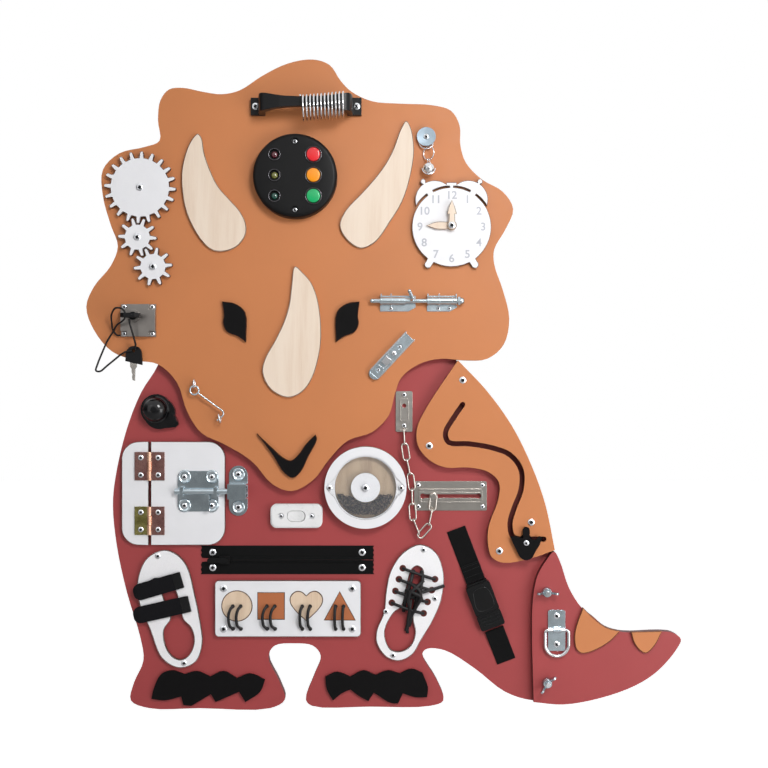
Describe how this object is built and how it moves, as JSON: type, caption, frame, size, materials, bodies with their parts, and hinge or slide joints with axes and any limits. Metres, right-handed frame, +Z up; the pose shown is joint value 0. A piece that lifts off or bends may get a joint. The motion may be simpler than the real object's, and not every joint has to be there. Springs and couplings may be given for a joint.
{
  "type": "busy board",
  "caption": "Dinosaur-shaped wooden wall panel carrying latches, a door, gears, a clock, a lamp, shoes, a zipper, a chain and other things for a small child to work.",
  "frame": {"origin": "centre of the board's outline, on the wall plane behind the body panel", "axes": "+Z up, +X to the right as seen from the front, -Y out of the wall towards the child"},
  "size_m": [0.755, 0.0706, 0.8291],
  "materials": {
    "orange_wood": "stained satin",
    "red_wood": "stained satin",
    "plain_wood": "pale plywood",
    "black_wood": "black stain",
    "glued_wood": "pale, orange and black pieces",
    "white_acrylic": "white gloss",
    "white_plastic": "moulded",
    "black_plastic": "moulded",
    "matte_black": "moulded",
    "clear_plastic": "clear",
    "zinc": "zinc plated",
    "bright_metal": "nickel plated",
    "bronze_metal": "bronze lacquer",
    "red_button": "moulded",
    "yellow_button": "moulded",
    "green_button": "moulded",
    "black_fabric": "woven",
    "granules": "loose beads"
  },
  "bodies": {
    "board": {"body_panel": "red_wood", "head_panel": "orange_wood", "maze_panel": "orange_wood", "tail_panel": "red_wood", "glued_shapes": "glued_wood", "fasteners": "zinc", "pull_handle": "black_plastic", "lamp_housing": "matte_black", "clock_face": "white_acrylic", "fixed_metalwork": "zinc", "bike_bell": "matte_black", "door_strip": "white_acrylic", "door_frame_hardware": "bronze_metal", "switch_housing": "white_plastic", "zipper_tape": "black_fabric", "shape_plate": "white_acrylic", "shoe_plates": "white_acrylic", "cords_and_laces": "black_fabric", "key_cords": "black_fabric", "strap_webbing": "black_fabric", "buckle_socket": "matte_black", "wheel_granules": "granules", "chain_links": "bright_metal"},
    "gear_large": {"gear_large": "white_acrylic"},
    "gear_middle": {"gear_middle": "white_acrylic"},
    "gear_small": {"gear_small": "white_acrylic"},
    "coil_spring": {"coil_spring": "bright_metal"},
    "red_button": {"red_button": "red_button"},
    "yellow_button": {"yellow_button": "yellow_button"},
    "green_button": {"green_button": "green_button"},
    "bell_rings": {"bell_rings": "bright_metal"},
    "jingle_bell": {"jingle_bell": "bright_metal"},
    "hour_hand": {"hour_hand": "plain_wood"},
    "minute_hand": {"minute_hand": "plain_wood"},
    "barrel_bolt_rod": {"barrel_bolt_rod": "zinc"},
    "slide_latch_thumb": {"slide_latch_thumb": "bright_metal"},
    "lock_key": {"lock_key": "black_plastic"},
    "spare_key": {"spare_key": "black_plastic"},
    "cabin_hook": {"cabin_hook": "zinc"},
    "bike_bell_lever": {"bike_bell_lever": "matte_black"},
    "door": {"door_leaf": "white_acrylic", "door_hardware": "zinc"},
    "pad_bolt_rod": {"pad_bolt_rod": "zinc"},
    "switch_rocker": {"switch_rocker": "white_plastic"},
    "sand_wheel": {"wheel_drum": "plain_wood", "wheel_ring": "white_acrylic", "wheel_window": "clear_plastic"},
    "chain_slider": {"chain_slider": "bright_metal"},
    "zipper_slider": {"zipper_slider": "matte_black"},
    "shape_circle": {"shape_circle": "plain_wood"},
    "shape_square": {"shape_square": "orange_wood"},
    "shape_heart": {"shape_heart": "plain_wood"},
    "shape_triangle": {"shape_triangle": "orange_wood"},
    "velcro_strap_upper": {"velcro_strap_upper": "black_fabric"},
    "velcro_strap_lower": {"velcro_strap_lower": "black_fabric"},
    "buckle_plug": {"buckle_plug": "matte_black"},
    "wing_nut_upper": {"wing_nut_upper": "zinc"},
    "wing_nut_lower": {"wing_nut_lower": "zinc"},
    "lashing_ring": {"lashing_ring": "bright_metal"},
    "maze_figure": {"maze_figure": "black_wood"}
  },
  "joints": [
    {"name": "gear_large_spin", "type": "hinge", "parent": "board", "child": "gear_large", "pos_m": [-0.3085, -0.028, 0.2485], "axis": [0, -1, 0], "continuous": true},
    {"name": "gear_middle_spin", "type": "hinge", "parent": "board", "child": "gear_middle", "pos_m": [-0.3118, -0.028, 0.18559], "axis": [0, -1, 0], "continuous": true},
    {"name": "gear_small_spin", "type": "hinge", "parent": "board", "child": "gear_small", "pos_m": [-0.29208, -0.028, 0.1485], "axis": [0, -1, 0], "continuous": true},
    {"name": "coil_spring_slide", "type": "slide", "parent": "board", "child": "coil_spring", "axis": [-1, 0, 0], "range_m": [0, 0.015]},
    {"name": "red_button_press", "type": "slide", "parent": "board", "child": "red_button", "axis": [0, 1, 0], "range_m": [0, 0.002], "stiffness_N_per_m": 400, "springref_m": -0.001},
    {"name": "yellow_button_press", "type": "slide", "parent": "board", "child": "yellow_button", "axis": [0, 1, 0], "range_m": [0, 0.002], "stiffness_N_per_m": 400, "springref_m": -0.001},
    {"name": "green_button_press", "type": "slide", "parent": "board", "child": "green_button", "axis": [0, 1, 0], "range_m": [0, 0.002], "stiffness_N_per_m": 400, "springref_m": -0.001},
    {"name": "bell_rings_swing", "type": "hinge", "parent": "board", "child": "bell_rings", "pos_m": [0.0535, -0.027, 0.313], "axis": [0, -1, 0], "range_deg": [-12, 30]},
    {"name": "jingle_bell_swing", "type": "hinge", "parent": "bell_rings", "child": "jingle_bell", "pos_m": [0.0564, -0.0313, 0.28317], "axis": [0, -1, 0], "range_deg": [-25, 25]},
    {"name": "hour_hand_turn", "type": "hinge", "parent": "board", "child": "hour_hand", "pos_m": [0.0855, -0.0327, 0.2], "axis": [0, -1, 0], "continuous": true},
    {"name": "minute_hand_turn", "type": "hinge", "parent": "board", "child": "minute_hand", "pos_m": [0.0855, -0.0357, 0.2], "axis": [0, -1, 0], "continuous": true},
    {"name": "barrel_bolt_slide", "type": "slide", "parent": "board", "child": "barrel_bolt_rod", "axis": [1, 0, 0], "range_m": [0, 0.012]},
    {"name": "latch_thumb_slide", "type": "slide", "parent": "board", "child": "slide_latch_thumb", "axis": [0.682, 0, 0.7314], "range_m": [-0.005, 0]},
    {"name": "lock_key_turn", "type": "hinge", "parent": "board", "child": "lock_key", "pos_m": [-0.3165, -0.04, 0.086], "axis": [0, -1, 0], "range_deg": [0, 90], "deforming": ["key_cords"]},
    {"name": "spare_key_swing", "type": "hinge", "parent": "board", "child": "spare_key", "pos_m": [-0.317, -0.0275, 0.042], "axis": [0, -1, 0], "range_deg": [-20, 20], "deforming": ["key_cords"]},
    {"name": "hook_swing", "type": "hinge", "parent": "board", "child": "cabin_hook", "pos_m": [-0.2395, -0.0322, -0.005], "axis": [0, -1, 0], "range_deg": [0, 70]},
    {"name": "bell_lever_press", "type": "hinge", "parent": "board", "child": "bike_bell_lever", "pos_m": [-0.2695, -0.0228, -0.0395], "axis": [0, 1, 0], "range_deg": [0, 15], "stiffness_Nm_per_rad": 0.02, "springref_deg": -5.73},
    {"name": "door_swing", "type": "hinge", "parent": "board", "child": "door", "pos_m": [-0.29865, -0.0206, -0.1395], "axis": [0, 0, -1], "range_deg": [0, 160]},
    {"name": "pad_bolt_slide", "type": "slide", "parent": "door", "child": "pad_bolt_rod", "axis": [1, 0, 0], "range_m": [-0.02, 0.006]},
    {"name": "rocker_tilt", "type": "hinge", "parent": "board", "child": "switch_rocker", "pos_m": [-0.1115, -0.0195, -0.168], "axis": [0, 0, 1], "range_deg": [0, 12]},
    {"name": "wheel_spin", "type": "hinge", "parent": "board", "child": "sand_wheel", "pos_m": [-0.0235, -0.02, -0.1315], "axis": [0, -1, 0], "continuous": true},
    {"name": "chain_slide", "type": "slide", "parent": "board", "child": "chain_slider", "axis": [1, 0, 0], "range_m": [-0.01, 0.055], "deforming": ["chain_links"]},
    {"name": "zipper_slide", "type": "slide", "parent": "board", "child": "zipper_slider", "axis": [1, 0, 0], "range_m": [0, 0.16]},
    {"name": "shape_circle_lift", "type": "slide", "parent": "board", "child": "shape_circle", "axis": [0, -1, 0], "range_m": [0, 0.02], "deforming": ["cords_and_laces"]},
    {"name": "shape_square_lift", "type": "slide", "parent": "board", "child": "shape_square", "axis": [0, -1, 0], "range_m": [0, 0.02], "deforming": ["cords_and_laces"]},
    {"name": "shape_heart_lift", "type": "slide", "parent": "board", "child": "shape_heart", "axis": [0, -1, 0], "range_m": [0, 0.02], "deforming": ["cords_and_laces"]},
    {"name": "shape_triangle_lift", "type": "slide", "parent": "board", "child": "shape_triangle", "axis": [0, -1, 0], "range_m": [0, 0.02], "deforming": ["cords_and_laces"]},
    {"name": "velcro_upper_peel", "type": "hinge", "parent": "board", "child": "velcro_strap_upper", "pos_m": [-0.316, -0.0182, -0.2665], "axis": [0.284, 0, -0.9588], "range_deg": [0, 120]},
    {"name": "velcro_lower_peel", "type": "hinge", "parent": "board", "child": "velcro_strap_lower", "pos_m": [-0.316, -0.0182, -0.2955], "axis": [0.225, 0, -0.9744], "range_deg": [0, 120]},
    {"name": "buckle_plug_slide", "type": "slide", "parent": "board", "child": "buckle_plug", "axis": [0.3566, 0, -0.9343], "range_m": [0, 0.03], "deforming": ["strap_webbing"]},
    {"name": "wing_nut_upper_turn", "type": "hinge", "parent": "board", "child": "wing_nut_upper", "pos_m": [0.2065, -0.028, -0.264], "axis": [0, -1, 0], "continuous": true},
    {"name": "wing_nut_lower_turn", "type": "hinge", "parent": "board", "child": "wing_nut_lower", "pos_m": [0.207, -0.028, -0.379], "axis": [0, -1, 0], "continuous": true},
    {"name": "lashing_ring_flip", "type": "hinge", "parent": "board", "child": "lashing_ring", "pos_m": [0.219, -0.0283, -0.3115], "axis": [-1, 0, 0], "range_deg": [0, 170]},
    {"name": "maze_figure_slide", "type": "slide", "parent": "board", "child": "maze_figure", "axis": [1, 0, 0], "range_m": [0, 0.022]}
  ],
  "couplings": [
    {"joint": "gear_middle_spin", "follows": "gear_large_spin", "ratio": -2},
    {"joint": "gear_small_spin", "follows": "gear_large_spin", "ratio": 2}
  ]
}
